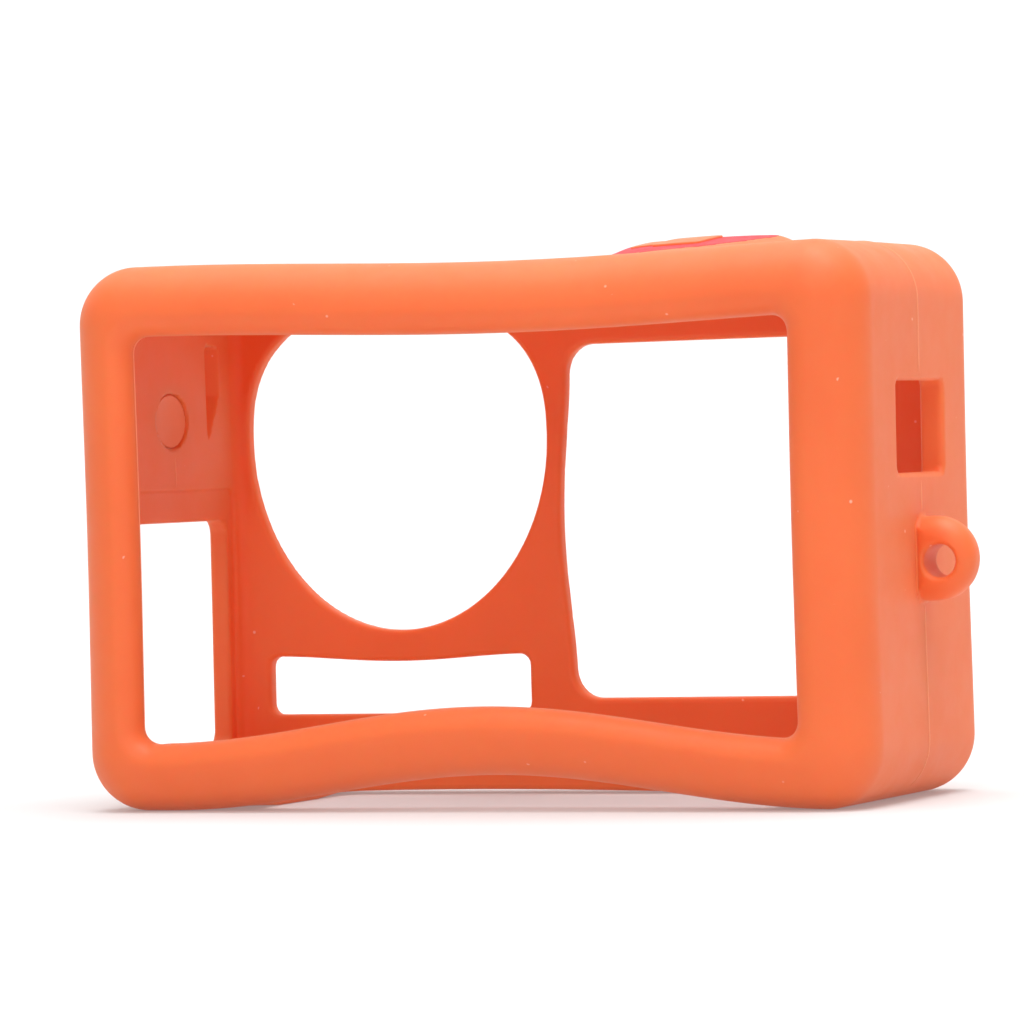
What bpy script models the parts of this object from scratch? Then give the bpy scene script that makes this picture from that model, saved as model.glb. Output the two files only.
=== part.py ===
"""A soft silicone sleeve for a pocket action camera, with two press pads and a lanyard loop.

Metres, +Z up. The lens side faces -Y and the screen side faces +Y. The origin is under the
middle of the whole part, on the surface that it stands on.
"""

import math

import bmesh
import bpy
from mathutils import Matrix, Vector

NAME = "camera_sleeve"
MM = 0.001
GAP = 0.3 * MM  # left between neighbouring solids

# Sleeve, around its own middle in X and Y.
WIDTH = 74.0 * MM
DEPTH = 31.0 * MM
HEIGHT = 48.0 * MM
WALL = 2.2 * MM
FRONT_WALL = 1.6 * MM
REAR_WALL = 2.4 * MM
CORNER_R = 5.2 * MM
REAR_EDGE_R = 4.5 * MM
FRONT_EDGE_R = 3.5 * MM
CAVITY_REAR_R = 2.4 * MM
CAVITY_FRONT_R = 1.2 * MM
RIGHT = WIDTH / 2  # X of the side with the door opening
LEFT = -WIDTH / 2  # X of the side with the loop
REAR = DEPTH / 2  # Y of the screen side
FRONT = -DEPTH / 2  # Y of the lens side

# Openings: (low, high) pairs.
REAR_OPENING_X = (-30.4 * MM, 31.0 * MM)
REAR_OPENING_Z = (6.0 * MM, 41.8 * MM)
REAR_OPENING_R = 1.3 * MM
LENS_X = 18.55 * MM
LENS_Z = 32.27 * MM
LENS_HALF_WIDTH = 15.0 * MM
LENS_DROP = 17.5 * MM
LENS_RISE = 12.4 * MM
LENS_TOP_POWER = 2.5
WINDOW_X = (-28.4 * MM, 1.4 * MM)
WINDOW_Z = (8.35 * MM, 40.28 * MM)
WINDOW_R = 2.5 * MM
WINDOW_BULGE = 1.0 * MM
SLOT_X = (5.8 * MM, 31.9 * MM)
SLOT_Z = (7.1 * MM, 12.4 * MM)
SLOT_R = 1.0 * MM
SLOT_SAG = 0.4 * MM
BULGE_STEPS = 8
BOTTOM_X = (-26.5 * MM, 22.0 * MM)
BOTTOM_Y = (-9.5 * MM, 9.5 * MM)
BOTTOM_R = 2.0 * MM
DOOR_Y = (-12.2 * MM, 9.0 * MM)
DOOR_Z = (4.6 * MM, 25.2 * MM)
DOOR_R = 1.2 * MM
PORT_Y = (-6.7 * MM, 5.2 * MM)
PORT_Z = (28.0 * MM, 35.9 * MM)
PORT_R = 0.6 * MM

# Relief groove inside the door side: straight on its rear side, narrowing to a point below.
GROOVE_Y = (-10.75 * MM, -8.3 * MM)
GROOVE_Z = (32.5 * MM, 36.6 * MM, 41.2 * MM)
GROOVE_DEPTH = 0.4 * MM

# How the relaxed sleeve bends: the rear bottom bar bows up, and the rear top rim dips.
BOW_RISE = 3.0 * MM
BOW_X = -2.5 * MM
BOW_HALF = 32.0 * MM
BOW_Y = (4.0 * MM, 9.5 * MM)
BOW_Z = (14.0 * MM, 30.0 * MM)
DIP = 0.85 * MM
DIP_X = -5.0 * MM
DIP_HALF = 36.0 * MM
DIP_Y = (1.5 * MM, 12.5 * MM)
DIP_Z = (26.0 * MM, 38.0 * MM)
SAG = 0.54 * MM  # the rest of the top sags too, most beside the record button
SAG_X = -4.0 * MM
SAG_HALF = 36.0 * MM
SAG_Z = (40.0 * MM, 47.0 * MM)
BEND_SLICES = 24
BEND_CUTS_Y = (5.5 * MM, 9.0 * MM, 12.5 * MM)

# Record button, on top.
RECORD_X = -17.9 * MM
RECORD_Y = 0.0
RECORD_HOLE_R = 9.2 * MM
RECORD_PAD_R = 8.2 * MM
RECORD_WEB_R = (RECORD_PAD_R + GAP, RECORD_HOLE_R - GAP)
RECORD_RIM_R = 7.65 * MM
RECORD_INLAY_R = RECORD_RIM_R - GAP
RECORD_RIM_Z = 48.45 * MM
RECORD_FLOOR_Z = 47.75 * MM
RECORD_UNDER_Z = 46.4 * MM
RECORD_NUB_R = 3.5 * MM
RECORD_NUB_Z = 45.7 * MM
RECORD_EDGE = 0.15 * MM
WEB_TOP_Z = 48.3 * MM
WEB_DROP = 0.3 * MM
WEB_THICK = 0.9 * MM
INLAY_EDGE_Z = 48.4 * MM
INLAY_TOP_Z = 48.75 * MM
ICON_TOP_Z = 48.93 * MM
ICON_OFFSET = 0.95 * MM
ICON_BODY = (4.5 * MM, 4.4 * MM)
ICON_NOSE = (2.1 * MM, 1.4 * MM, 3.2 * MM)  # length, height at its root, height at its end
ICON_OVERLAP = 0.3 * MM
ICON_R = 0.7 * MM

# Side button, on the door side.
SIDE_Y = -1.1 * MM
SIDE_Z = 34.4 * MM
SIDE_PAD = (3.1 * MM, 2.5 * MM)  # half sizes along Y and Z
SIDE_WEB = 0.6 * MM
SIDE_WEB_X = (RIGHT - 1.5 * MM, RIGHT - 0.5 * MM)
SIDE_RISE = 0.8 * MM
SIDE_RECESS = 0.6 * MM
SIDE_EDGE_R = 0.6 * MM

# Lanyard loop.
LOOP_REACH = 5.0 * MM
LOOP_Z = 20.64 * MM
LOOP_R = 3.62 * MM
LOOP_Y = (-2.5 * MM, 1.5 * MM)
LOOP_HOLE_R = 1.45 * MM
LOOP_HOLE_X = LEFT - 1.95 * MM
LOOP_HOLE_Z = 20.45 * MM

# The loop reaches further than the side button, so the sleeve stands off centre in the part.
SLEEVE_X = (LOOP_REACH - SIDE_RISE) / 2

ORANGE = (0.86, 0.19, 0.065, 1.0)
RED = (0.91, 0.10, 0.12, 1.0)


def clear_scene():
    for obj in list(bpy.data.objects):
        bpy.data.objects.remove(obj, do_unlink=True)


def new_collection(name):
    collection = bpy.data.collections.new(name)
    bpy.context.scene.collection.children.link(collection)
    return collection


def new_material(name, colour, roughness):
    material = bpy.data.materials.new(name)
    material.use_nodes = True
    shader = material.node_tree.nodes["Principled BSDF"]
    shader.inputs["Base Color"].default_value = colour
    shader.inputs["Roughness"].default_value = roughness
    shader.inputs["Metallic"].default_value = 0.0
    return material


def add_object(name, mesh, collection):
    obj = bpy.data.objects.new(name, mesh)
    collection.objects.link(obj)
    return obj


def as_mesh(obj, collection):
    """The object's evaluated shape as a plain mesh object of the same name; the first one goes."""
    bpy.context.view_layer.update()
    evaluated = obj.evaluated_get(bpy.context.evaluated_depsgraph_get())
    mesh = bpy.data.meshes.new_from_object(evaluated)
    bm = bmesh.new()
    bm.from_mesh(mesh)
    bmesh.ops.remove_doubles(bm, verts=bm.verts, dist=0.001 * MM)
    bmesh.ops.recalc_face_normals(bm, faces=bm.faces)
    bm.to_mesh(mesh)
    bm.free()
    name, place = obj.name, obj.matrix_world.copy()
    bpy.data.objects.remove(obj, do_unlink=True)
    made = add_object(name, mesh, collection)
    made.matrix_world = place
    return made


def rounded_box(name, low, high, corner_r, rear_r, front_r, collection):
    """A box whose four edges along Y are round, then its rear and front rims too."""
    bm = bmesh.new()
    bmesh.ops.create_cube(bm, size=1.0)
    size = Vector(high) - Vector(low)
    middle = (Vector(high) + Vector(low)) / 2
    bmesh.ops.transform(bm, matrix=Matrix.Diagonal(size).to_4x4(), verts=bm.verts)
    bmesh.ops.translate(bm, vec=middle, verts=bm.verts)

    def along_y(edge):
        return abs(edge.verts[0].co.y - edge.verts[1].co.y) > size.y / 2

    def at_y(edge, y):
        return all(abs(v.co.y - y) < 0.01 * MM for v in edge.verts)

    def soften(edges, radius, segments):
        bmesh.ops.bevel(
            bm, geom=edges, offset=radius, segments=segments, profile=0.5, affect="EDGES"
        )

    soften([e for e in bm.edges if along_y(e)], corner_r, 6)
    soften([e for e in bm.edges if at_y(e, high[1])], rear_r, 5)
    soften([e for e in bm.edges if at_y(e, low[1])], front_r, 4)
    mesh = bpy.data.meshes.new(name)
    bm.to_mesh(mesh)
    bm.free()
    return add_object(name, mesh, collection)


def arc(centre, radius, start, end, steps):
    """Points on an arc, angles in degrees."""
    points = []
    for i in range(steps + 1):
        angle = math.radians(start + (end - start) * i / steps)
        points.append(
            (centre[0] + radius * math.cos(angle), centre[1] + radius * math.sin(angle))
        )
    return points


def rounded_outline(wide, tall, radius, steps=4):
    """A rectangle from wide[0] to wide[1] and tall[0] to tall[1] with round corners."""
    x0, x1 = wide[0] + radius, wide[1] - radius
    z0, z1 = tall[0] + radius, tall[1] - radius
    points = arc((x0, z0), radius, 180, 270, steps)
    points += arc((x1, z0), radius, 270, 360, steps)
    points += arc((x1, z1), radius, 0, 90, steps)
    points += arc((x0, z1), radius, 90, 180, steps)
    return points


def prism(name, outline, low, high, axis, collection):
    """A flat outline drawn in the plane across axis, thick from low to high along it."""
    curve = bpy.data.curves.new(name, "CURVE")
    curve.dimensions = "2D"
    curve.fill_mode = "BOTH"
    curve.extrude = (high - low) / 2
    spline = curve.splines.new("POLY")
    spline.points.add(len(outline) - 1)
    for point, (across, up) in zip(spline.points, outline):
        point.co = (across, up, 0.0, 1.0)
    spline.use_cyclic_u = True
    obj = add_object(name, curve, collection)
    middle = (low + high) / 2
    if axis == "X":
        turn = Matrix(((0, 0, 1), (1, 0, 0), (0, 1, 0))).to_4x4()
        obj.matrix_world = Matrix.Translation((middle, 0, 0)) @ turn
    elif axis == "Y":
        turn = Matrix(((1, 0, 0), (0, 0, -1), (0, 1, 0))).to_4x4()
        obj.matrix_world = Matrix.Translation((0, middle, 0)) @ turn
    else:
        obj.matrix_world = Matrix.Translation((0, 0, middle))
    return as_mesh(obj, collection)


def turned(name, profile, centre, collection, steps=48):
    """A profile of (radius, height) points, top to bottom, turned about the vertical through centre."""
    mesh = bpy.data.meshes.new(name)
    edges = [(i, i + 1) for i in range(len(profile) - 1)]
    mesh.from_pydata([(r, 0.0, z) for r, z in profile], edges, [])
    obj = add_object(name, mesh, collection)
    obj.location = centre
    screw = obj.modifiers.new("turn", "SCREW")
    screw.steps = steps
    screw.render_steps = steps
    screw.use_merge_vertices = True
    screw.merge_threshold = 0.001 * MM
    screw.use_normal_calculate = False
    return as_mesh(obj, collection)


def combine(obj, others, operation):
    for other in others:
        step = obj.modifiers.new(other.name, "BOOLEAN")
        step.operation = operation
        step.solver = "EXACT"
        step.object = other
        other.hide_render = True
        other.display_type = "WIRE"


def lens_outline(points=56):
    """A half ellipse below and a squarer half oval above."""
    outline = []
    for i in range(points):
        angle = 2 * math.pi * i / points
        c, s = math.cos(angle), math.sin(angle)
        if s < 0:
            x, z = LENS_HALF_WIDTH * c, LENS_DROP * s
        else:
            power = 2 / LENS_TOP_POWER
            x = LENS_HALF_WIDTH * math.copysign(abs(c) ** power, c)
            z = LENS_RISE * abs(s) ** power
        outline.append((LENS_X + x, LENS_Z + z))
    return outline


def bulged(outline, edge_at, ends, amount, along):
    """The outline with the straight edge at edge_at bulged outwards by amount at its middle.

    along is 1 for an upright edge and 0 for a level one; ends are where the edge starts and stops.
    """
    result = []
    for i, point in enumerate(outline):
        result.append(point)
        following = outline[(i + 1) % len(outline)]
        on_edge = all(abs(p[1 - along] - edge_at) < 0.01 * MM for p in (point, following))
        if not on_edge:
            continue
        for k in range(1, BULGE_STEPS):
            share = k / BULGE_STEPS
            place = point[along] + (following[along] - point[along]) * share
            swell = math.sin(math.pi * (place - ends[0]) / (ends[1] - ends[0])) ** 2
            shifted = edge_at + amount * swell
            result.append((shifted, place) if along else (place, shifted))
    return result


def window_outline():
    outline = rounded_outline(WINDOW_X, WINDOW_Z, WINDOW_R)
    return bulged(outline, WINDOW_X[1], WINDOW_Z, WINDOW_BULGE, 1)


def slot_outline():
    outline = rounded_outline(SLOT_X, SLOT_Z, SLOT_R)
    return bulged(outline, SLOT_Z[1], SLOT_X, -SLOT_SAG, 0)


def oval(half_y, half_z, points=32):
    outline = []
    for i in range(points):
        angle = 2 * math.pi * i / points
        outline.append((SIDE_Y + half_y * math.cos(angle), SIDE_Z + half_z * math.sin(angle)))
    return outline


def groove_outline():
    point, middle, high = GROOVE_Z
    far, near = GROOVE_Y
    return [(far, high), (far, middle), (near, point), (near, high)]


def sleeve_cutters(cutters):
    """Everything that is taken out of the sleeve's outer block."""
    past = 2 * MM
    cavity = rounded_box(
        "cut_cavity",
        (LEFT + WALL, FRONT + FRONT_WALL, WALL),
        (RIGHT - WALL, REAR - REAR_WALL, HEIGHT - WALL),
        CORNER_R - WALL,
        CAVITY_REAR_R,
        CAVITY_FRONT_R,
        cutters,
    )
    rear = rounded_outline(REAR_OPENING_X, REAR_OPENING_Z, REAR_OPENING_R)
    front = (FRONT - past, FRONT + FRONT_WALL + past)
    inner_right = RIGHT - WALL
    hole = arc((RECORD_X, RECORD_Y), RECORD_HOLE_R, 0, 360 - 7.5, 47)
    bottom = rounded_outline(BOTTOM_X, BOTTOM_Y, BOTTOM_R)
    door = rounded_outline(DOOR_Y, DOOR_Z, DOOR_R)
    port = rounded_outline(PORT_Y, PORT_Z, PORT_R)
    side_hole = oval(
        SIDE_PAD[0] + SIDE_WEB + 2 * GAP, SIDE_PAD[1] + SIDE_WEB + 2 * GAP
    )
    return [
        cavity,
        prism("cut_rear", rear, REAR - REAR_WALL - past, REAR + past, "Y", cutters),
        prism("cut_lens", lens_outline(), *front, "Y", cutters),
        prism("cut_window", window_outline(), *front, "Y", cutters),
        prism("cut_slot", slot_outline(), *front, "Y", cutters),
        prism("cut_bottom", bottom, -past, WALL + past / 2, "Z", cutters),
        prism("cut_door", door, inner_right - past, RIGHT + past, "X", cutters),
        prism("cut_port", port, LEFT - past, LEFT + WALL + past, "X", cutters),
        prism("cut_record", hole, HEIGHT - WALL - past, HEIGHT + past, "Z", cutters),
        prism("cut_side", side_hole, inner_right - past, RIGHT + past, "X", cutters),
        prism(
            "cut_groove",
            groove_outline(),
            inner_right - past,
            inner_right + GROOVE_DEPTH,
            "X",
            cutters,
        ),
    ]


def fade(value, low, high):
    share = min(max((value - low) / (high - low), 0.0), 1.0)
    return share * share * (3 - 2 * share)


def hump(x, middle, half):
    reach = min(abs(x - middle) / half, 1.0)
    return math.cos(math.pi / 2 * reach) ** 2


def relaxed_rise(x, y, z):
    """How far up a point of the straight moulding moves when the empty sleeve relaxes."""
    rear = fade(y, *DIP_Y)
    bow = BOW_RISE * hump(x, BOW_X, BOW_HALF) * fade(y, *BOW_Y) * (1 - fade(z, *BOW_Z))
    dip = DIP * hump(x, DIP_X, DIP_HALF) * rear * fade(z, *DIP_Z)
    sag = SAG * hump(x, SAG_X, SAG_HALF) * (1 - rear) * fade(z, *SAG_Z)
    return bow - dip - sag


def bend(obj):
    """Slices the rear and the top across the sleeve's width and moves the points."""
    bm = bmesh.new()
    bm.from_mesh(obj.data)
    cuts = [(Vector((x, 0, 0)), Vector((1, 0, 0))) for x in slice_places()]
    cuts += [(Vector((0, y, 0)), Vector((0, 1, 0))) for y in BEND_CUTS_Y]
    for place, normal in cuts:
        faces = [f for f in bm.faces if bends(f)]
        around = {e for f in faces for e in f.edges} | {v for f in faces for v in f.verts}
        bmesh.ops.bisect_plane(
            bm, geom=faces + list(around), dist=0.001 * MM, plane_co=place, plane_no=normal
        )
    bmesh.ops.triangulate(bm, faces=bm.faces)
    for vert in bm.verts:
        vert.co.z += relaxed_rise(*vert.co)
    bm.to_mesh(obj.data)
    bm.free()


def bends(face):
    """True for a face in the rear or the top of the sleeve."""
    return any(v.co.y > DIP_Y[0] or v.co.z > SAG_Z[0] for v in face.verts)


def slice_places():
    low, high = BOW_X - BOW_HALF, BOW_X + BOW_HALF
    return [low + (high - low) * i / BEND_SLICES for i in range(BEND_SLICES + 1)]


def sleeve_body(parts, cutters):
    low = (LEFT, FRONT, 0.0)
    high = (RIGHT, REAR, HEIGHT)
    block = rounded_box(
        "sleeve_body", low, high, CORNER_R, REAR_EDGE_R, FRONT_EDGE_R, parts
    )
    combine(block, sleeve_cutters(cutters), "DIFFERENCE")
    sleeve = as_mesh(block, parts)
    bend(sleeve)
    return sleeve


def lanyard_loop(parts, cutters):
    """A D-shaped tab with a hole for a lanyard's cord."""
    centre = (LEFT - LOOP_REACH + LOOP_R, LOOP_Z)
    root = LEFT - GAP
    outline = arc(centre, LOOP_R, 90, 270, 12)
    outline += [(root, LOOP_Z - LOOP_R), (root, LOOP_Z + LOOP_R)]
    tab = prism("lanyard_loop", outline, *LOOP_Y, "Y", parts)
    hole = arc((LOOP_HOLE_X, LOOP_HOLE_Z), LOOP_HOLE_R, 0, 330, 11)
    past = 1 * MM
    cut = prism("cut_loop", hole, LOOP_Y[0] - past, LOOP_Y[1] + past, "Y", cutters)
    combine(tab, [cut], "DIFFERENCE")
    return tab


def pictogram(name, grow, low, high, collection):
    """A plain camcorder sign: a round-cornered body with a nose that widens forwards."""
    half_x, half_y = ICON_BODY[0] / 2 + grow, ICON_BODY[1] / 2 + grow
    body_x = RECORD_X + ICON_OFFSET
    wide = (body_x - half_x, body_x + half_x)
    tall = (RECORD_Y - half_y, RECORD_Y + half_y)
    body = prism(name, rounded_outline(wide, tall, ICON_R), low, high, "Z", collection)
    length, root, end = ICON_NOSE
    start = body_x + ICON_BODY[0] / 2 - ICON_OVERLAP
    tip = body_x + ICON_BODY[0] / 2 + length + grow
    nose_outline = [
        (start, RECORD_Y - root / 2 - grow),
        (tip, RECORD_Y - end / 2 - grow),
        (tip, RECORD_Y + end / 2 + grow),
        (start, RECORD_Y + root / 2 + grow),
    ]
    nose = prism(name + "_nose", nose_outline, low, high, "Z", collection)
    combine(body, [nose], "UNION")
    joined = as_mesh(body, collection)
    bpy.data.objects.remove(nose, do_unlink=True)
    return joined


def record_button_pad(parts, cutters):
    """The orange dome: a rim round a shallow recess, a nub below, and the raised sign."""
    edge = RECORD_EDGE
    profile = [
        (0.0, RECORD_FLOOR_Z),
        (RECORD_RIM_R, RECORD_FLOOR_Z),
        (RECORD_RIM_R, RECORD_RIM_Z - edge),
        (RECORD_RIM_R + edge, RECORD_RIM_Z),
        (RECORD_PAD_R - edge, RECORD_RIM_Z),
        (RECORD_PAD_R, RECORD_RIM_Z - edge),
        (RECORD_PAD_R, RECORD_UNDER_Z),
        (RECORD_NUB_R, RECORD_UNDER_Z),
        (RECORD_NUB_R, RECORD_NUB_Z),
        (0.0, RECORD_NUB_Z),
    ]
    pad = turned("record_button_pad", profile, (RECORD_X, RECORD_Y, 0), parts)
    sign = pictogram("add_sign", 0.0, RECORD_FLOOR_Z - 0.4 * MM, ICON_TOP_Z, cutters)
    combine(pad, [sign], "UNION")
    return pad


def dome_height(radius):
    """The inlay's top: a shallow cap that falls towards its edge."""
    share = radius / RECORD_INLAY_R
    return INLAY_TOP_Z - (INLAY_TOP_Z - INLAY_EDGE_Z) * share * share


def record_button_inlay(parts, cutters):
    rings = 4
    radii = [RECORD_INLAY_R * i / rings for i in range(rings + 1)]
    profile = [(r, dome_height(r)) for r in radii]
    floor = RECORD_FLOOR_Z + GAP
    profile += [(RECORD_INLAY_R, floor), (0.0, floor)]
    inlay = turned("record_button_inlay", profile, (RECORD_X, RECORD_Y, 0), parts)
    hole = pictogram("cut_sign", GAP, floor - 1 * MM, ICON_TOP_Z + 1 * MM, cutters)
    combine(inlay, [hole], "DIFFERENCE")
    return inlay


def record_button_web(parts):
    """The thin sloping ring that joins the pad to the sleeve and flexes when it is pressed."""
    inner, outer = RECORD_WEB_R
    low_top = WEB_TOP_Z - WEB_DROP
    profile = [
        (inner, WEB_TOP_Z),
        (outer, low_top),
        (outer, low_top - WEB_THICK),
        (inner, WEB_TOP_Z - WEB_THICK),
        (inner, WEB_TOP_Z),
    ]
    return turned("record_button_web", profile, (RECORD_X, RECORD_Y, 0), parts)


def side_button_pad(parts):
    inner = RIGHT - WALL + SIDE_RECESS
    pad = prism("side_button_pad", oval(*SIDE_PAD), inner, RIGHT + SIDE_RISE, "X", parts)
    soft = pad.modifiers.new("soft_edge", "BEVEL")
    soft.width = SIDE_EDGE_R
    soft.segments = 2
    soft.limit_method = "ANGLE"
    soft.angle_limit = math.radians(60)
    return pad


def side_button_web(parts, cutters):
    """The thin ring round the side pad."""
    low, high = SIDE_WEB_X
    inner = [half + GAP for half in SIDE_PAD]
    outer = [half + SIDE_WEB for half in inner]
    web = prism("side_button_web", oval(*outer), low, high, "X", parts)
    hole = prism("cut_side_web", oval(*inner), low - MM, high + MM, "X", cutters)
    combine(web, [hole], "DIFFERENCE")
    return web


def finish_object(obj, material, holder):
    obj.data.materials.clear()
    obj.data.materials.append(material)
    obj.data.shade_smooth()
    obj.data.set_sharp_from_angle(angle=math.radians(35))
    obj.parent = holder


def main():
    clear_scene()
    parts = new_collection(NAME)
    cutters = new_collection("cutters")
    orange = new_material("orange_silicone", ORANGE, 0.55)
    red = new_material("red_silicone", RED, 0.5)
    holder = bpy.data.objects.new("sleeve_middle", None)
    parts.objects.link(holder)
    orange_objects = [
        sleeve_body(parts, cutters),
        lanyard_loop(parts, cutters),
        record_button_pad(parts, cutters),
        record_button_web(parts),
        side_button_pad(parts),
        side_button_web(parts, cutters),
    ]
    for obj in orange_objects:
        finish_object(obj, orange, holder)
    finish_object(record_button_inlay(parts, cutters), red, holder)
    for cutter in cutters.objects:
        cutter.parent = holder
        cutter.hide_render = True
        cutter.display_type = "WIRE"
    holder.location.x = SLEEVE_X


main()
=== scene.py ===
"""The looks of the silicone camera sleeve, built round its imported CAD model.

The sleeve is one soft moulding, so its skin is one implicit surface: a distance field made of a
few plain shapes, blended with small fillets and meshed by surface nets. Fields are in
millimetres from the middle of the sleeve's base, and the meshes made from them are in metres.
"""

import math

import bmesh
import bpy
import numpy as np
from mathutils import Matrix, Vector


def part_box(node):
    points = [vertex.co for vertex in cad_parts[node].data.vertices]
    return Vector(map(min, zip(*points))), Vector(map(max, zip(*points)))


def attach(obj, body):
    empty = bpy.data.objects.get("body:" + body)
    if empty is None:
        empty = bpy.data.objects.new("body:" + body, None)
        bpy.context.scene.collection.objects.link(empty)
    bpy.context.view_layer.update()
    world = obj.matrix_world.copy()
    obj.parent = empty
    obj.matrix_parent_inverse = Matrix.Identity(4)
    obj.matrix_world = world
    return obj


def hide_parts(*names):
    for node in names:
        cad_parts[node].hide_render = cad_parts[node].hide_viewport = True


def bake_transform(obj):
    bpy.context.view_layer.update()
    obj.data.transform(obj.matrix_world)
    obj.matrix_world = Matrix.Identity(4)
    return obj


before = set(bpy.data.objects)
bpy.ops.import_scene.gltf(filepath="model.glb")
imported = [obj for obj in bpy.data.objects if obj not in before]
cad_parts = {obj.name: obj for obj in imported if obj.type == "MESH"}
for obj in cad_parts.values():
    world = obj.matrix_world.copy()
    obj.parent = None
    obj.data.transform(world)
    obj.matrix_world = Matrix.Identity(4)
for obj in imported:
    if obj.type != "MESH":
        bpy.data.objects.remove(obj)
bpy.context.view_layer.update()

MM = 0.001
BODY_LOW, BODY_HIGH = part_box("sleeve_body")
BASE = Vector(((BODY_LOW.x + BODY_HIGH.x) / 2, (BODY_LOW.y + BODY_HIGH.y) / 2, BODY_LOW.z))
WIDTH, DEPTH, HEIGHT = ((BODY_HIGH - BODY_LOW) / MM)[:]
RIGHT, LEFT = WIDTH / 2, -WIDTH / 2  # the door side and the loop side
REAR, FRONT = DEPTH / 2, -DEPTH / 2  # the screen side and the lens side

# Walls and fillets, in millimetres.
WALL = 2.2
FRONT_WALL = 1.6
REAR_WALL = 2.4
CORNER_R = 5.2
REAR_EDGE_R = 4.6
FRONT_EDGE_R = 3.5
LIP_EDGE_R = 2.1
CUT_EDGE_R = 0.45
CAVITY_REAR_R, CAVITY_FRONT_R = 2.4, 1.2

# Openings, and the relief inside the door wall.
REAR_X, REAR_Z, REAR_CORNER_R = (-30.4, 31.0), (6.0, 41.8), 1.5
LENS_X, LENS_Z = 18.55, 32.27
LENS_HALF_WIDTH, LENS_DROP, LENS_RISE = 14.96, 17.5, 12.4
LENS_TOP_POWER = 2.5
WINDOW_X, WINDOW_Z = (-28.4, 1.4), (8.35, 40.28)
WINDOW_R, WINDOW_BULGE = 2.5, 1.0
SLOT_X, SLOT_Z = (5.8, 31.9), (7.1, 12.45)
SLOT_R, SLOT_SAG = 1.0, 0.55
BOTTOM_X, BOTTOM_Y, BOTTOM_R = (-26.5, 22.0), (-9.5, 9.5), 2.0
DOOR_Y, DOOR_Z, DOOR_R = (-12.0, 9.0), (4.6, 25.2), 1.2
PORT_Y, PORT_Z, PORT_R = (-6.7, 5.2), (28.0, 35.9), 0.7
GROOVE_Y, GROOVE_Z, GROOVE_DEPTH = (-10.75, -8.3), (32.5, 36.6, 41.2), 1.2
GROOVE_STEEPNESS = 1.6  # 1 would slope the floor over the whole width
PANEL_Y, PANEL_Z, PANEL_DEPTH = (-13.0, 12.0), (4.0, 28.1), 0.25  # thinner wall round the door

# How the relaxed sleeve bends.
BOW_RISE, BOW_X, BOW_HALF, BOW_Y = 3.0, -1.8, 31.3, (4.0, 9.5)
LIFT, LIFT_X, LIFT_HALF, LIFT_Y, LIFT_Z = 0.42, 9.0, 34.0, (-9.0, -3.0), (2.0, 7.0)
DIP, DIP_X, DIP_HALF, DIP_Y = 0.85, -5.0, 36.0, (-4.0, 12.5)
SAG, SAG_X, SAG_HALF, SAG_Z = 0.54, -4.0, 36.0, (40.0, 47.0)
PINCH = 0.15

# Record button: an orange skirt, a red field and a raised sign.
RECORD_X, RECORD_Y = -17.9, 0.0
RECORD_FOOT_R, RECORD_RIM_R, RECORD_INLAY_R = 9.1, 6.8, 7.5
RECORD_RISE, RECORD_DOME, RECORD_TILT = 0.86, 0.2, 0.08
INLAY_X = -16.8
INLAY_DEPTH, POCKET_DEPTH = 0.5, 1.15  # the pocket leaves room for the red field to be pressed
SIGN_RISE, NOSE_RISE, SIGN_DEPTH = 0.22, 0.16, 0.2
SIGN_BODY, SIGN_NOSE = (-19.2, -14.7), (-14.7, -12.6)
SIGN_Y, SIGN_BODY_HALF, SIGN_NOSE_HALF = 1.7, 3.1, (1.5, 2.6)
NUB_R, NUB_Z = 3.5, (44.9, 46.6)

# Side button.
SIDE_Y, SIDE_Z = -1.1, 34.4
SIDE_PAD = (3.1, 2.5)
SIDE_RECESS, SIDE_RISE = 0.6, 0.8
CORE_HALF, CORE_SUNK, CORE_DISH, CORE_DEPTH = (3.03, 2.43), 0.08, 0.25, 1.0

# Lanyard loop.
LOOP_REACH, LOOP_Z, LOOP_R = 4.8, 20.64, 3.62
LOOP_Y = (-2.5, 1.5)
LOOP_EDGE_R, LOOP_ROOT_R = 1.8, 0.2
LOOP_HOLE_X, LOOP_HOLE_Z, LOOP_HOLE_R = LEFT - 1.9, 20.45, 1.42

# The stage is a light table, as pure white product pictures use, and it faces the screen side.
TABLE_GLOW = 0.2
STAGE_TURN = Matrix.Rotation(math.radians(203.3), 4, "Z")

# Hairlines that the mould leaves.
PARTING_Y, PARTING_WIDTH, PARTING_RISE = -0.5, 0.3, 0.06
LIP_LINE_WIDTH, LIP_LINE_RISE, LIP_LINE_IN = 0.2, 0.05, 0.35
INNER_LINE_Z = (28.4, 31.4)

# Grid steps of the meshes.
SKIN_STEP, DISC_STEP, CORE_STEP, SIGN_STEP = 0.36, 0.16, 0.14, 0.09

# ---------------------------------------------------------------------------------------------
# Distance fields
# ---------------------------------------------------------------------------------------------


def fade(value, low, high):
    share = np.clip((value - low) / (high - low), 0, 1)
    return share * share * (3 - 2 * share)


def hump(x, middle, half):
    return np.cos(math.pi / 2 * np.clip(abs(x - middle) / half, 0, 1)) ** 2


def both(a, b, r):
    """Where both fields are solid, with the edge rounded to radius r."""
    u, v = np.maximum(r + a, 0), np.maximum(r + b, 0)
    return np.minimum(-r, np.maximum(a, b)) + np.hypot(u, v)


def either(a, b, r):
    return -both(-a, -b, r)


def without(a, b, r):
    return both(a, -b, r)


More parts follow.
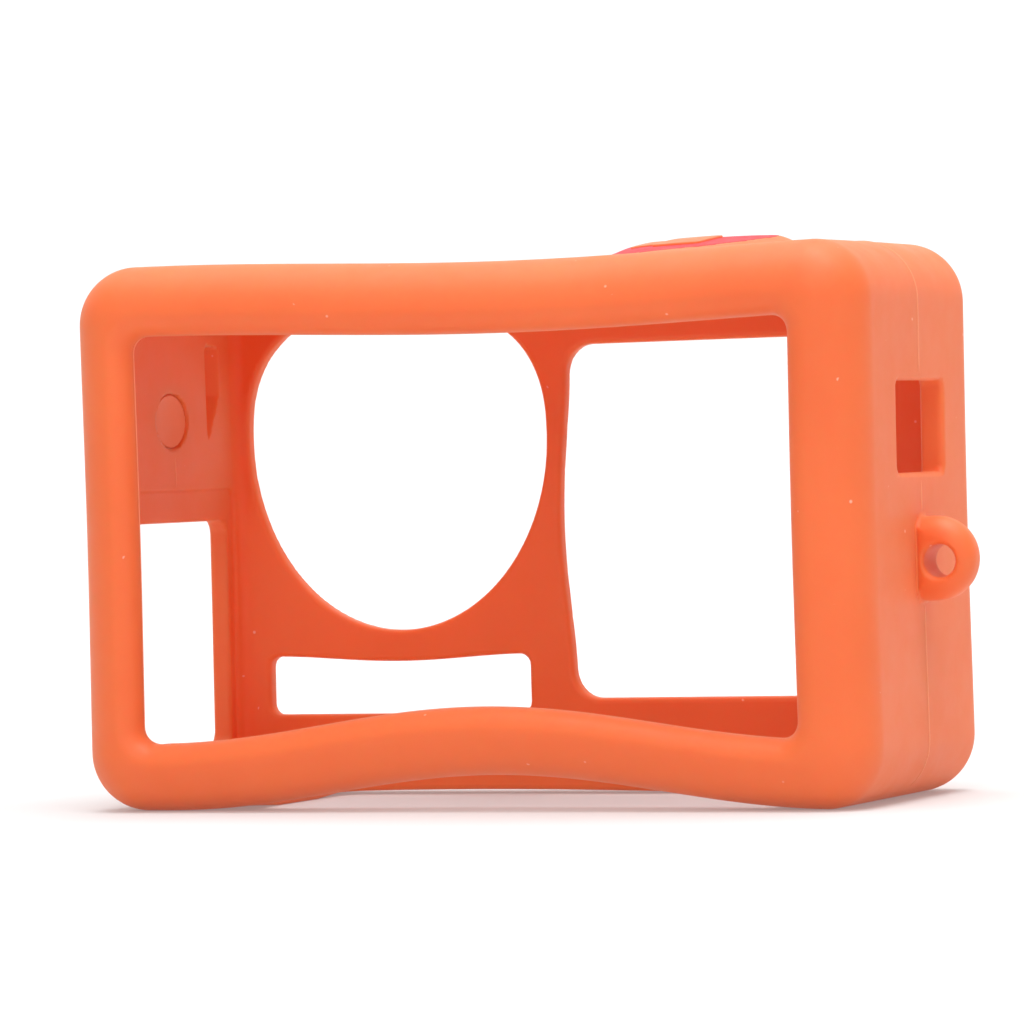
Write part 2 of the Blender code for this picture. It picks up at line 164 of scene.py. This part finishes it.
def rect(a, b, wide, tall, r):
    """A rectangle between two pairs of limits with round corners."""
    qa = abs(a - (wide[0] + wide[1]) / 2) - ((wide[1] - wide[0]) / 2 - r)
    qb = abs(b - (tall[0] + tall[1]) / 2) - ((tall[1] - tall[0]) / 2 - r)
    outside = np.hypot(np.maximum(qa, 0), np.maximum(qb, 0))
    return outside + np.minimum(np.maximum(qa, qb), 0) - r


def oval(a, b, half_a, half_b):
    """A close distance to an ellipse round the origin, good near its edge."""
    k = np.sqrt((a / half_a) ** 2 + (b / half_b) ** 2)
    slope = np.sqrt((a / half_a**2) ** 2 + (b / half_b**2) ** 2)
    return k * (k - 1) / np.maximum(slope, 1e-6)


def lens_hole(x, z):
    a, b = x - LENS_X, z - LENS_Z
    below = oval(a, b, LENS_HALF_WIDTH, LENS_DROP)
    n = LENS_TOP_POWER
    u, v = abs(a) / LENS_HALF_WIDTH, abs(b) / LENS_RISE
    k = (u**n + v**n) ** (1 / n)
    slope = np.hypot(u ** (n - 1) / LENS_HALF_WIDTH, v ** (n - 1) / LENS_RISE)
    above = (k - 1) * np.maximum(k, 1e-3) ** (n - 1) / np.maximum(slope, 1e-6)
    return np.where(b < 0, below, above)


def window(x, z):
    tall = WINDOW_Z[1] - WINDOW_Z[0]
    swell = np.sin(math.pi * np.clip((z - WINDOW_Z[0]) / tall, 0, 1)) ** 2
    on_left = fade(x, -10.0, 0.0)
    return rect(x - WINDOW_BULGE * swell * on_left, z, WINDOW_X, WINDOW_Z, WINDOW_R)


def slot(x, z):
    wide = SLOT_X[1] - SLOT_X[0]
    sag = np.sin(math.pi * np.clip((x - SLOT_X[0]) / wide, 0, 1)) ** 2
    on_top = fade(z, 8.0, 11.0)
    return rect(x, z + SLOT_SAG * sag * on_top, SLOT_X, SLOT_Z, SLOT_R)


def groove(x, y, z):
    """Deepest along its straight rear edge, sloping up forwards, and narrowing to a point below."""
    point, middle, high = GROOVE_Z
    far, near = GROOVE_Y
    edge = near + (far - near) * np.clip((z - point) / (middle - point), 0.02, 1)
    depth = GROOVE_DEPTH * np.clip((y - edge) / (near - far) * GROOVE_STEEPNESS, -1, 1)
    inner = RIGHT - WALL
    solid = both(x - inner - depth, y - near, 0.05)
    solid = np.maximum(np.maximum(solid, far - 0.2 - y), point - 0.2 - z)
    return np.maximum(both(solid, z - high, 0.3), inner - 1.0 - x)


def relaxed(x, y, z):
    """How far each point has moved up from the straight moulding."""
    rear = fade(y, *DIP_Y)
    bow = BOW_RISE * hump(x, BOW_X, BOW_HALF) * fade(y, *BOW_Y) * (1 - fade(z, 14, 30))
    dip = DIP * hump(x, DIP_X, DIP_HALF) * rear * fade(z, 26, 38)
    sag = SAG * hump(x, SAG_X, SAG_HALF) * (1 - rear) * fade(z, *SAG_Z)
    lift = LIFT * hump(x, LIFT_X, LIFT_HALF) * (1 - fade(y, *LIFT_Y)) * (1 - fade(z, *LIFT_Z))
    return bow + lift - dip - sag


def record_rise(x, y):
    """How far the record button stands above the top: a sloping skirt and a shallow dome,
    which leans back towards the screen side."""
    r = np.hypot(x - RECORD_X, y - RECORD_Y)
    dome = RECORD_DOME * (1 - np.minimum(r / RECORD_RIM_R, 1) ** 2)
    rise = RECORD_RISE * (1 - fade(r, RECORD_RIM_R - 0.6, RECORD_FOOT_R)) + dome
    return rise * (1 - RECORD_TILT * np.clip(y, -RECORD_RIM_R, RECORD_RIM_R))


def orange_rise(x, y):
    """The same rise with a pocket for the red field."""
    r = np.hypot(x - INLAY_X, y - RECORD_Y)
    pocket = POCKET_DEPTH * (1 - fade(r, RECORD_INLAY_R - 0.45, RECORD_INLAY_R - 0.05))
    return record_rise(x, y) - pocket


def inlay_field(x, y, z):
    z = z - relaxed(x, y, z)
    top = HEIGHT + record_rise(x, y) + 0.02
    disc = np.hypot(x - INLAY_X, y - RECORD_Y) - RECORD_INLAY_R
    solid = both(disc, z - top, 0.1)
    return both(solid, top - INLAY_DEPTH - z, 0.05)


def sign_field(x, y, z):
    """A plain camera sign: a box with a flared nose."""
    z = z - relaxed(x, y, z)
    dome = HEIGHT + record_rise(x, y)
    body_y = (SIGN_Y - SIGN_BODY_HALF, SIGN_Y + SIGN_BODY_HALF)
    body = both(rect(x, y, SIGN_BODY, body_y, 0.6), z - dome - SIGN_RISE, 0.1)
    share = np.clip((x - SIGN_NOSE[0]) / (SIGN_NOSE[1] - SIGN_NOSE[0]), 0, 1)
    half = SIGN_NOSE_HALF[0] + (SIGN_NOSE_HALF[1] - SIGN_NOSE_HALF[0]) * share
    ends = np.maximum(x - SIGN_NOSE[1], SIGN_NOSE[0] - 0.5 - x)
    nose = both(both(abs(y - SIGN_Y) - half, ends, 0.25), z - dome - NOSE_RISE, 0.05)
    return both(np.minimum(body, nose), dome - SIGN_DEPTH - z, 0.05)


def nub_field(x, y, z):
    disc = np.hypot(x - RECORD_X, y - RECORD_Y) - NUB_R
    return both(both(disc, NUB_Z[0] - z, 0.3), z - NUB_Z[1], 0.1)


def cap_field(x, y, z):
    """A shallow oval dome whose foot runs out into the outer wall."""
    out = oval(y - SIDE_Y, z - SIDE_Z, SIDE_PAD[0] + 0.4, SIDE_PAD[1] + 0.4)
    rise = SIDE_RISE * (1 - fade(out, -1.1, 0.3))
    return np.maximum(np.maximum(x - RIGHT - rise, RIGHT - 0.3 - x), out - 0.35)


def core_field(x, y, z):
    floor = RIGHT - WALL + SIDE_RECESS
    a, b = y - SIDE_Y, z - SIDE_Z
    hollow = np.maximum(1 - (a / CORE_HALF[0]) ** 2 - (b / CORE_HALF[1]) ** 2, 0)
    face = RIGHT - WALL + CORE_SUNK + CORE_DISH * hollow
    return both(both(oval(a, b, *CORE_HALF), face - x, 0.08), x - floor - CORE_DEPTH, 0.1)


def loop_field(x, y, z):
    centre = LEFT - LOOP_REACH + LOOP_R
    flat = np.hypot(np.minimum(x - centre, 0), z - LOOP_Z) - LOOP_R
    tab = np.maximum(flat, x - (LEFT + 1.0))
    tab = both(tab, y - LOOP_Y[1], LOOP_EDGE_R)
    tab = both(tab, LOOP_Y[0] - y, LOOP_EDGE_R)
    hole = np.hypot(x - LOOP_HOLE_X, z - LOOP_HOLE_Z) - LOOP_HOLE_R
    return without(tab, hole, 0.4)


def sleeve_field(x, y, z):
    z = z - relaxed(x, y, z)
    x = x * (1 + PINCH / RIGHT * np.sin(math.pi * np.clip(z / HEIGHT, 0, 1)) ** 2)
    past = 3.0
    profile = rect(x, z, (LEFT, RIGHT), (0, HEIGHT), CORNER_R)
    solid = both(profile, y - REAR, REAR_EDGE_R)
    solid = both(solid, FRONT - y, FRONT_EDGE_R)
    solid = solid - orange_rise(x, y) * fade(z, HEIGHT - 3, HEIGHT - 0.5)
    rear = rect(x, z, REAR_X, REAR_Z, REAR_CORNER_R)
    solid = without(solid, np.maximum(rear, 5 - y), LIP_EDGE_R)
    inside_x, inside_z = (LEFT + WALL, RIGHT - WALL), (WALL, HEIGHT - WALL)
    cavity = rect(x, z, inside_x, inside_z, CORNER_R - WALL)
    cavity = both(cavity, y - (REAR - REAR_WALL), CAVITY_REAR_R)
    cavity = both(cavity, FRONT + FRONT_WALL - y, CAVITY_FRONT_R)
    solid = without(solid, cavity, CUT_EDGE_R)
    front = y - (FRONT + FRONT_WALL + past)
    for hole in (lens_hole(x, z), window(x, z), slot(x, z)):
        solid = without(solid, np.maximum(hole, front), CUT_EDGE_R)
    inner_right = RIGHT - WALL
    door = np.maximum(rect(y, z, DOOR_Y, DOOR_Z, DOOR_R), inner_right - past - x)
    port = np.maximum(rect(y, z, PORT_Y, PORT_Z, PORT_R), x - (LEFT + WALL + past))
    base = np.maximum(rect(x, y, BOTTOM_X, BOTTOM_Y, BOTTOM_R), z - (WALL + past))
    for hole in (door, port, base):
        solid = without(solid, hole, CUT_EDGE_R)
    outwards = np.maximum(inner_right - past - x, x - (inner_right + SIDE_RECESS))
    recess = both(oval(y - SIDE_Y, z - SIDE_Z, *SIDE_PAD), outwards, 0.5)
    solid = without(solid, recess, 0.15)
    panel = both(rect(y, z, PANEL_Y, PANEL_Z, 1.0), x - inner_right - PANEL_DEPTH, 0.2)
    solid = without(solid, np.maximum(panel, inner_right - 1.0 - x), 0.2)
    return without(solid, groove(x, y, z), 0.06)


def skin_field(x, y, z):
    return either(sleeve_field(x, y, z), loop_field(x, y, z), LOOP_ROOT_R)


# ---------------------------------------------------------------------------------------------
# Surface nets
# ---------------------------------------------------------------------------------------------

CORNERS = [(i, j, k) for i in (0, 1) for j in (0, 1) for k in (0, 1)]


def net_points(value, cells):
    """One point in each cell that the surface crosses: the mean of its edge crossings."""
    total = np.zeros((len(cells), 3))
    count = np.zeros(len(cells))
    for a in CORNERS:
        for axis in range(3):
            if a[axis]:
                continue
            b = list(a)
            b[axis] = 1
            start = cells + a
            va = value[tuple(start.T)]
            vb = value[tuple((cells + b).T)]
            crossed = (va < 0) != (vb < 0)
            point = start[crossed].astype(float)
            point[:, axis] += va[crossed] / (va[crossed] - vb[crossed])
            total[crossed] += point
            count += crossed
    return total / count[:, None]


def net_faces(inside, ids):
    """A quad round every grid edge that the surface crosses, facing outwards."""
    quads = []
    for axis in range(3):
        u, v = (axis + 1) % 3, (axis + 2) % 3
        lead = [slice(None)] * 3
        tail = [slice(None)] * 3
        lead[axis], tail[axis] = slice(0, -1), slice(1, None)
        crossed = inside[tuple(lead)] != inside[tuple(tail)]
        at = np.argwhere(crossed)
        limit = np.array(ids.shape)
        fits = (at[:, u] > 0) & (at[:, v] > 0) & (at[:, u] < limit[u]) & (at[:, v] < limit[v])
        at = at[fits]
        ring = []
        for du, dv in ((-1, -1), (0, -1), (0, 0), (-1, 0)):
            cell = at.copy()
            cell[:, u] += du
            cell[:, v] += dv
            ring.append(ids[tuple(cell.T)])
        ring = np.stack(ring, 1)
        flip = ~inside[tuple(at.T)]
        ring[flip] = ring[flip][:, ::-1]
        quads.append(ring)
    return np.concatenate(quads)


def slope_at(field, points, reach=0.02):
    """The field's value and gradient at each point."""
    x, y, z = points.T
    value = field(x, y, z)
    steps = [
        field(x + reach, y, z) - field(x - reach, y, z),
        field(x, y + reach, z) - field(x, y - reach, z),
        field(x, y, z + reach) - field(x, y, z - reach),
    ]
    return value, np.stack(steps, 1) / (2 * reach)


def settle(field, points, quads, rounds=3):
    """Evens out the points along the surface and puts each one exactly on it."""
    first = quads.ravel()
    second = np.roll(quads, -1, axis=1).ravel()
    ends = np.concatenate([first, second])
    others = np.concatenate([second, first])
    share = np.bincount(ends, minlength=len(points))[:, None]
    for _ in range(rounds):
        mean = [np.bincount(ends, points[others, k], len(points)) for k in range(3)]
        points = points * 0.4 + np.stack(mean, 1) / share * 0.6
        for _ in range(2):
            value, slope = slope_at(field, points)
            size = np.maximum((slope**2).sum(1), 0.2)
            points = points - np.clip(value / size, -0.4, 0.4)[:, None] * slope
    return points


def implicit_mesh(name, field, low, high, step):
    """The field's surface between two corners as a closed smooth mesh object, in metres."""
    axes = [np.arange(a, b + step, step) for a, b in zip(low, high)]
    x, y, z = axes[0][:, None, None], axes[1][None, :, None], axes[2][None, None, :]
    value = np.broadcast_to(field(x, y, z), [len(a) for a in axes])
    inside = value < 0
    count = np.zeros([len(a) - 1 for a in axes], np.int8)
    for i, j, k in CORNERS:
        count += inside[
            i : i + count.shape[0], j : j + count.shape[1], k : k + count.shape[2]
        ]
    cells = np.argwhere((count > 0) & (count < 8))
    ids = np.full(count.shape, -1)
    ids[tuple(cells.T)] = np.arange(len(cells))
    points = np.array(low) + net_points(value, cells) * step
    quads = net_faces(inside, ids)
    points = settle(field, points, quads)
    _, slope = slope_at(field, points)
    normals = slope / np.maximum(np.linalg.norm(slope, axis=1), 1e-9)[:, None]
    mesh = bpy.data.meshes.new(name)
    placed = points * MM + np.array(BASE)
    mesh.from_pydata(placed.tolist(), [], quads.tolist())
    mesh.shade_smooth()
    mesh.normals_split_custom_set_from_vertices(normals.tolist())
    obj = bpy.data.objects.new(name, mesh)
    bpy.context.scene.collection.objects.link(obj)
    return obj


# ---------------------------------------------------------------------------------------------
# Materials
# ---------------------------------------------------------------------------------------------


class Nodes:
    """A short way to write a material's node tree."""

    def __init__(self, name):
        self.material = bpy.data.materials.new(name)
        self.material.use_nodes = True
        self.tree = self.material.node_tree
        self.shader = self.tree.nodes["Principled BSDF"]

    def add(self, kind, **values):
        node = self.tree.nodes.new(kind)
        for key, value in values.items():
            if hasattr(node, key):
                setattr(node, key, value)
            else:
                node.inputs[key.replace("_", " ")].default_value = value
        return node

    def link(self, source, target):
        self.tree.links.new(source, target)

    def place(self):
        return self.add("ShaderNodeTexCoord").outputs["Object"]

    def noise(self, scale, detail=3.0, roughness=0.5):
        node = self.add("ShaderNodeTexNoise", Scale=scale, Detail=detail, Roughness=roughness)
        self.link(self.place(), node.inputs["Vector"])
        return node.outputs["Fac"]

    def span(self, source, low, high, out_low, out_high):
        node = self.add("ShaderNodeMapRange")
        node.inputs["From Min"].default_value = low
        node.inputs["From Max"].default_value = high
        node.inputs["To Min"].default_value = out_low
        node.inputs["To Max"].default_value = out_high
        self.link(source, node.inputs["Value"])
        return node.outputs["Result"]

    def mix(self, factor, first, second):
        node = self.add("ShaderNodeMix", data_type="RGBA")
        self.link(factor, node.inputs["Factor"])
        for value, socket in ((first, node.inputs["A"]), (second, node.inputs["B"])):
            if isinstance(value, tuple):
                socket.default_value = value
            else:
                self.link(value, socket)
        return node.outputs["Result"]


def silicone(name, colour, pale, deep, glow, gloss=1.0):
    """Matte moulded silicone: a soft glow below the surface, a fine grain and a few dust specks."""
    n = Nodes(name)
    s = n.shader
    clouds = n.span(n.noise(55.0, 4.0), 0.35, 0.65, 0.0, 1.0)
    base = n.mix(clouds, deep, colour)
    dust = n.add("ShaderNodeTexVoronoi", Scale=430.0)
    n.link(n.place(), dust.inputs["Vector"])
    speck = n.span(dust.outputs["Distance"], 0.04, 0.08, 1.0, 0.0)
    rare = n.span(n.noise(900.0, 0.0), 0.55, 0.59, 0.0, 0.8)
    few = n.add("ShaderNodeMath", operation="MULTIPLY")
    n.link(speck, few.inputs[0])
    n.link(rare, few.inputs[1])
    base = n.mix(few.outputs[0], base, pale)
    n.link(base, s.inputs["Base Color"])
    rough = n.span(n.noise(420.0, 3.0), 0.3, 0.7, 0.5, 0.62)
    n.link(rough, s.inputs["Roughness"])
    s.inputs["Subsurface Weight"].default_value = glow
    s.inputs["Subsurface Radius"].default_value = (1.0, 0.32, 0.12)
    s.inputs["Subsurface Scale"].default_value = 2.6 * MM
    s.inputs["IOR"].default_value = 1.48
    s.inputs["Specular IOR Level"].default_value = 0.5 * gloss
    s.inputs["Sheen Weight"].default_value = 0.12 * gloss
    s.inputs["Sheen Roughness"].default_value = 0.5
    s.inputs["Sheen Tint"].default_value = (1.0, 0.8, 0.72, 1.0)
    grain = n.add("ShaderNodeBump", Strength=0.12)
    grain.inputs["Distance"].default_value = 0.02 * MM
    n.link(n.noise(5200.0, 2.0), grain.inputs["Height"])
    n.link(grain.outputs["Normal"], s.inputs["Normal"])
    return n.material


def bead(name, path, width, rise):
    """A hairline ridge along a path laid on the skin, tapering out at both ends."""
    points = np.array(path)
    for _ in range(6):
        value, slope = slope_at(skin_field, points)
        points = points - value[:, None] / (slope**2).sum(1)[:, None] * slope
    _, slope = slope_at(skin_field, points)
    out = slope / np.linalg.norm(slope, axis=1)[:, None]
    along = np.gradient(points, axis=0)
    across = np.cross(along, out)
    across /= np.linalg.norm(across, axis=1)[:, None]
    from_end = np.minimum(np.arange(len(points)), np.arange(len(points))[::-1])
    taper = np.minimum(1, (from_end + 0.4) / 2)[:, None]
    section = ((-0.5, -0.3), (-0.28, 0.72), (0.0, 1.0), (0.28, 0.72), (0.5, -0.3))
    rows = [points + across * width * s * taper + out * rise * h * taper for s, h in section]
    verts = np.stack(rows, 1).reshape(-1, 3) * MM + np.array(BASE)
    count = len(section)
    faces = []
    for i in range(len(points) - 1):
        a, b = i * count, (i + 1) * count
        for j in range(count):
            k = (j + 1) % count
            faces.append((a + j, b + j, b + k, a + k))
    faces.append(tuple(range(count)))
    last = (len(points) - 1) * count
    faces.append(tuple(last + j for j in reversed(range(count))))
    mesh = bpy.data.meshes.new(name)
    mesh.from_pydata(verts.tolist(), [], faces)
    mesh.shade_smooth()
    obj = bpy.data.objects.new(name, mesh)
    bpy.context.scene.collection.objects.link(obj)
    return obj


def outline_path(wide, tall, r, y, step=0.35):
    """Points round a rectangle with round corners, standing in the plane y."""
    (x0, x1), (z0, z1) = wide, tall
    path = []
    corners = ((x1, z0, -90, 1, -1), (x1, z1, 0, 1, 1), (x0, z1, 90, -1, 1), (x0, z0, 180, -1, -1))
    for x, z, turn, outward, upward in corners:
        cx, cz = x - r * outward, z - r * upward
        for i in range(9):
            angle = math.radians(turn + 90 * i / 8)
            path.append((cx + r * math.cos(angle), y, cz + r * math.sin(angle)))
    path.append(path[0])
    dense = []
    for a, b in zip(path, path[1:]):
        a, b = np.array(a), np.array(b)
        count = max(1, int(np.linalg.norm(b - a) / step))
        dense += [a + (b - a) * i / count for i in range(count)]
    return np.array(dense)


def runs(path, keep):
    """The stretches of a closed path where keep holds, each one in order."""
    start = int(np.argmin(keep))
    path, keep = np.roll(path, -start, axis=0), np.roll(keep, -start)
    found, current = [], []
    for point, wanted in zip(path, keep):
        if wanted:
            current.append(point)
        elif current:
            found.append(current)
            current = []
    if current:
        found.append(current)
    return [r for r in found if len(r) > 4]


def dress(obj, material):
    obj.data.materials.clear()
    obj.data.materials.append(material)


# ---------------------------------------------------------------------------------------------
# Pieces
# ---------------------------------------------------------------------------------------------


def sleeve_skin(orange):
    """The whole orange moulding: sleeve, loop and the skirt of the record button."""
    low = (LEFT - LOOP_REACH - 0.7, FRONT - 0.7, -0.7)
    high = (RIGHT + 0.7, REAR + 0.7, HEIGHT + RECORD_RISE + 0.9)
    skin = implicit_mesh("sleeve_skin", skin_field, low, high, SKIN_STEP)
    dress(skin, orange)
    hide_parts("sleeve_body", "lanyard_loop", "record_button_web")
    flex_with_record_button(skin)


def flex_with_record_button(piece):
    """Bakes the piece's placement into its mesh."""
    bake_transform(piece)


def record_button(orange, red, firm):
    x, y, r = INLAY_X, RECORD_Y, RECORD_INLAY_R + 0.3
    low, high = (x - r, y - r, HEIGHT - 1.2), (x + r, y + r, HEIGHT + 1.4)
    inlay = implicit_mesh("record_inlay", inlay_field, low, high, DISC_STEP)
    dress(inlay, red)
    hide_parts("record_button_inlay")
    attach(inlay, "record_button")
    reach = SIGN_BODY_HALF + 0.3
    low = (SIGN_BODY[0] - 0.3, SIGN_Y - reach, HEIGHT - 0.4)
    high = (SIGN_NOSE[1] + 0.3, SIGN_Y + reach, HEIGHT + 1.5)
    sign = implicit_mesh("record_sign", sign_field, low, high, SIGN_STEP)
    dress(sign, firm)
    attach(sign, "record_button")
    x, r = RECORD_X, NUB_R + 0.4
    low, high = (x - r, y - r, NUB_Z[0] - 0.4), (x + r, y + r, NUB_Z[1] + 0.4)
    nub = implicit_mesh("record_pad_core", nub_field, low, high, DISC_STEP)
    dress(nub, orange)
    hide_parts("record_button_pad")
    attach(nub, "record_button")


def side_button(firm):
    y, z = SIDE_Y, SIDE_Z
    low, high = (RIGHT - 0.6, y - 4.2, z - 3.6), (RIGHT + SIDE_RISE + 0.3, y + 4.2, z + 3.6)
    cap = implicit_mesh("side_pad_cap", cap_field, low, high, DISC_STEP)
    dress(cap, firm)
    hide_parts("side_button_pad", "side_button_web")
    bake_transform(cap)
    floor = RIGHT - WALL + SIDE_RECESS
    low, high = (floor - 0.8, y - 3.4, z - 2.8), (floor + CORE_DEPTH + 0.3, y + 3.4, z + 2.8)
    core = implicit_mesh("side_pad_core", core_field, low, high, CORE_STEP)
    dress(core, firm)
    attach(core, "side_button")


def parting_runs():
    """The parting line round the middle, broken at the openings, the loop and the buttons."""
    path = outline_path((LEFT, RIGHT), (0, HEIGHT), CORNER_R, PARTING_Y)
    x, _, z = path.T
    loop_side, door_side = x < LEFT + 1, x > RIGHT - 1
    gone = loop_side & (z > PORT_Z[0] - 0.35) & (z < PORT_Z[1] + 0.35)
    gone |= loop_side & (abs(z - LOOP_Z) < LOOP_R + 0.15)
    gone |= door_side & (z > DOOR_Z[0] - 0.4) & (z < DOOR_Z[1] + 0.4)
    gone |= door_side & (abs(z - SIDE_Z) < SIDE_PAD[1] + 0.9)
    gone |= (z > HEIGHT - 1) & (abs(x - RECORD_X) < RECORD_FOOT_R)
    gone |= z < 1
    return runs(path, ~gone)


def hairlines(edge):
    """The parting lines outside and inside, and the fine edge of the rear lip, coloured paler than
    the body as a painted highlight along each ridge.
    """
    lines = [(run, PARTING_WIDTH, PARTING_RISE) for run in parting_runs()]
    names = [f"parting_line_{i + 1}" for i in range(len(lines))]
    lip = outline_path(REAR_X, REAR_Z, REAR_CORNER_R, REAR - REAR_WALL + LIP_LINE_IN)
    lip[:, 2] += relaxed(*lip.T)
    lines.append((lip, LIP_LINE_WIDTH, LIP_LINE_RISE))
    names.append("lip_line")
    inside = [(RIGHT - WALL, SIDE_Y - 0.3, z) for z in np.arange(*INNER_LINE_Z, 0.3)]
    lines.append((inside, LIP_LINE_WIDTH, LIP_LINE_RISE))
    names.append("inner_parting_line")
    for name, (run, width, rise) in zip(names, lines):
        line = bead(name, run, width, rise)
        dress(line, edge)
        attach(line, "sleeve")


def make_stage():
    floor_mesh = bpy.data.meshes.new("studio_floor")
    bm = bmesh.new()
    near, far, tall, bend, steps = -1.6, 1.2, 1.4, 0.35, 16
    rows = [(near, 0.0), (far - bend, 0.0)]
    for i in range(1, steps):
        angle = math.pi / 2 * i / steps
        rows.append((far - bend + bend * math.sin(angle), bend - bend * math.cos(angle)))
    rows += [(far, bend), (far, tall)]
    pairs = []
    for y, z in rows:
        ends = [bm.verts.new(STAGE_TURN @ Vector((x, y, z))) for x in (-2.2, 2.2)]
        pairs.append(ends)
    for (a, b), (c, d) in zip(pairs, pairs[1:]):
        bm.faces.new((a, b, d, c)).smooth = True
    bm.to_mesh(floor_mesh)
    bm.free()
    floor = bpy.data.objects.new("studio_floor", floor_mesh)
    bpy.context.scene.collection.objects.link(floor)
    n = Nodes("studio_light_table")
    tone = n.mix(n.noise(9.0), (0.57, 0.57, 0.57, 1), (0.59, 0.59, 0.59, 1))
    n.link(tone, n.shader.inputs["Base Color"])
    n.shader.inputs["Roughness"].default_value = 0.9
    n.shader.inputs["Emission Color"].default_value = (1, 1, 1, 1)
    n.shader.inputs["Emission Strength"].default_value = TABLE_GLOW
    floor.data.materials.append(n.material)


def area_light(name, place, size, power, aim):
    data = bpy.data.lights.new(name, "AREA")
    data.shape = "RECTANGLE"
    data.size, data.size_y = size
    data.energy = power
    light = bpy.data.objects.new(name, data)
    bpy.context.scene.collection.objects.link(light)
    light.location = place
    light.rotation_euler = (aim - Vector(place)).to_track_quat("-Z", "Y").to_euler()
    return light


def make_lights(middle):
    world = bpy.data.worlds.new("soft_white")
    bpy.context.scene.world = world
    world.use_nodes = True
    world.node_tree.nodes["Background"].inputs["Color"].default_value = (1, 1, 1, 1)
    world.node_tree.nodes["Background"].inputs["Strength"].default_value = 0.28
    area_light("top_soft", (-0.1, 0.05, 0.8), (0.7, 0.7), 8.2, middle)
    area_light("key_rear_high", (-0.05, 0.6, 0.4), (0.4, 0.4), 1.25, middle)
    area_light("fill_loop_side", (-0.75, 0.5, 0.2), (0.6, 0.6), 1.0, middle)
    behind = STAGE_TURN @ Vector((0, 0.5, 0.9))
    wall = STAGE_TURN @ Vector((0, 1.2, 0.3))
    area_light("backdrop_wash", behind, (1.8, 0.3), 12.0, wall)


def make_camera():
    """A long lens a little above the part's middle, swung round towards the loop side."""
    swing, rise, roll = math.radians(23.26), math.radians(0.75), math.radians(1.64)
    distance = 0.49305
    data = bpy.data.cameras.new("camera")
    data.lens = 197.2
    data.sensor_width = 36.0
    data.shift_x, data.shift_y = -0.011, 0.016
    camera = bpy.data.objects.new("camera", data)
    bpy.context.scene.collection.objects.link(camera)
    middle = BASE + Vector((0, 0, HEIGHT / 2 * MM))
    back = Vector(
        (
            -math.sin(swing) * math.cos(rise),
            math.cos(swing) * math.cos(rise),
            math.sin(rise),
        )
    )
    right = Vector((-math.cos(swing), -math.sin(swing), 0))
    up = back.cross(right)
    turned_right = right * math.cos(roll) - up * math.sin(roll)
    turned_up = right * math.sin(roll) + up * math.cos(roll)
    axes = Matrix((turned_right, turned_up, back)).transposed().to_4x4()
    camera.matrix_world = Matrix.Translation(middle + back * distance) @ axes
    bpy.context.scene.camera = camera


def main():
    orange = silicone(
        "orange_silicone",
        (0.87, 0.172, 0.041, 1),
        (1.0, 0.55, 0.4, 1),
        (0.84, 0.156, 0.035, 1),
        0.6,
    )
    red = silicone(
        "red_silicone",
        (0.93, 0.05, 0.065, 1),
        (1.0, 0.5, 0.45, 1),
        (0.9, 0.045, 0.058, 1),
        0.5,
        0.3,
    )
    firm = silicone(
        "orange_firm",
        (0.89, 0.19, 0.055, 1),
        (1.0, 0.55, 0.4, 1),
        (0.86, 0.175, 0.048, 1),
        0.0,
    )
    # The hairlines get a paler orange than the body: a painted highlight for the light that their
    # thin ridges and the lip's fine edge catch.
    edge = silicone(
        "orange_edge_painted_highlight",
        (0.95, 0.3, 0.15, 1),
        (1.0, 0.55, 0.4, 1),
        (0.92, 0.27, 0.12, 1),
        0.0,
    )
    sleeve_skin(orange)
    record_button(orange, red, firm)
    side_button(firm)
    hairlines(edge)
    middle = BASE + Vector((0, 0, HEIGHT / 2 * MM))
    make_stage()
    make_lights(middle)
    make_camera()
    bpy.context.scene.view_settings.view_transform = "Standard"


main()
